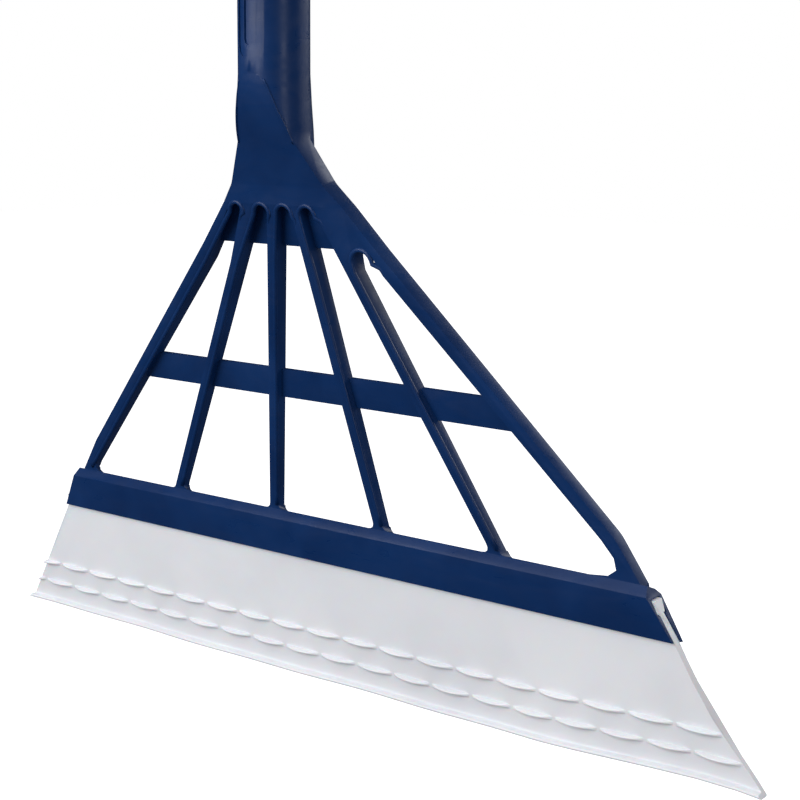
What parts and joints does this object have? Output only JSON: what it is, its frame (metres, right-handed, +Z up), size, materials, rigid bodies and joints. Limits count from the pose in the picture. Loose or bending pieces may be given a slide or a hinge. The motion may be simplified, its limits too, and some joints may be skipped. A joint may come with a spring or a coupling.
{
  "type": "telescoping snow and water scraper",
  "caption": "Fan-shaped moulded scraper head with a flexible scalloped blade in a T-slot, on a twist-lock telescoping handle with a grip and a swivelling hanging loop.",
  "frame": {"origin": "middle of the bearing edge at the top of the hanging loop's eye, where a hook holds the tool; the handle axis passes through it", "axes": "+Z up along the handle, +X across the head towards the open end of the blade channel, +Y towards the back of the head"},
  "size_m": [0.4121, 0.0561, 0.9068],
  "materials": {
    "navy_plastic": "satin moulded polypropylene",
    "white_rubber": "soft satin thermoplastic rubber",
    "tube_metal": "fine brushed, clear anodised",
    "spring_steel": "fine ground",
    "dark_plastic": "fine matt",
    "grey_plastic": "fine matt",
    "grip_foam": "soft matt skin",
    "white_plastic": "satin"
  },
  "bodies": {
    "head": {"head_frame": "navy_plastic", "lower_tube": "tube_metal", "lower_tube_plug": "dark_plastic", "button_spring": "spring_steel", "tube_bushing": "grey_plastic", "bushing_rivet": "spring_steel"},
    "blade": {"squeegee_blade": "white_rubber"},
    "button": {"snap_button": "spring_steel"},
    "handle": {"upper_tube": "tube_metal", "lock_collet": "grey_plastic", "collet_rivet_back": "spring_steel", "collet_rivet_front": "spring_steel", "collar_band": "white_plastic", "grip_sleeve": "grip_foam", "grip_ring": "white_plastic", "end_cap": "navy_plastic", "hanger_pivot": "spring_steel"},
    "collar": {"lock_collar": "navy_plastic", "collar_wiper": "dark_plastic"},
    "hanger": {"hanger_loop": "navy_plastic"}
  },
  "joints": [
    {"name": "blade_slide", "type": "slide", "parent": "head", "child": "blade", "axis": [1, 0, 0], "range_m": [0, 0.33]},
    {"name": "button_press", "type": "slide", "parent": "head", "child": "button", "axis": [0, -1, 0], "range_m": [0, 0.0045], "stiffness_N_per_m": 1500, "springref_m": -0.002, "deforming": ["button_spring"]},
    {"name": "telescope", "type": "slide", "parent": "head", "child": "handle", "axis": [0, 0, 1], "range_m": [0, 0.32]},
    {"name": "collar_twist", "type": "hinge", "parent": "handle", "child": "collar", "pos_m": [0, 0, -0.548], "axis": [0, 0, 1], "range_deg": [0, 90]},
    {"name": "hanger_swivel", "type": "hinge", "parent": "handle", "child": "hanger", "pos_m": [0, 0, -0.035], "axis": [0, 0, 1], "continuous": true}
  ]
}
